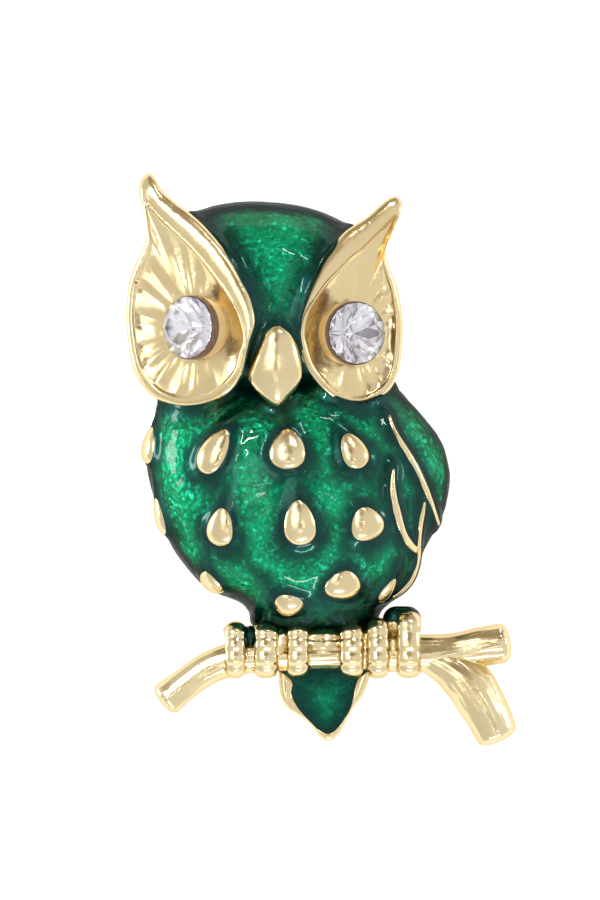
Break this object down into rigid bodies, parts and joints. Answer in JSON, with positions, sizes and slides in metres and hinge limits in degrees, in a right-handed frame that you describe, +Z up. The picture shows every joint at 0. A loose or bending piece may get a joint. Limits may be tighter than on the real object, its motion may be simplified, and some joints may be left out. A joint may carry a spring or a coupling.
{
  "type": "figural animal brooch",
  "caption": "Figural owl brooch: cast metal shell with faceted eye stones, raised drops and ribs and flush enamel, gripping a short branch, with a pin across its open back.",
  "frame": {"origin": "centre of the brooch's bounding box, on the surface that it lies on, face up", "axes": "+Y from the tail to the ears, along the longest extent; +X to the right as the owl is seen, where its wing is; +Z up, out of the face"},
  "size_m": [0.0298, 0.0435, 0.012],
  "materials": {
    "gilt_metal": "polished pale gold plate over a cast base metal",
    "green_enamel": "translucent emerald enamel over a crinkled bright ground, glossy",
    "dark_enamel": "the same enamel where it is thick, nearly black-green",
    "clear_stone": "clear faceted glass with a foiled back",
    "pin_metal": "gilded stamped metal and drawn wire"
  },
  "bodies": {
    "root": {"casting": "gilt_metal", "body_enamel": "green_enamel", "head_enamel": "green_enamel", "tail_enamel": "green_enamel", "left_foot_enamel": "dark_enamel", "right_foot_enamel": "dark_enamel", "left_eye_stone": "clear_stone", "right_eye_stone": "clear_stone", "brooch_pin": "pin_metal"}
  },
  "joints": []
}
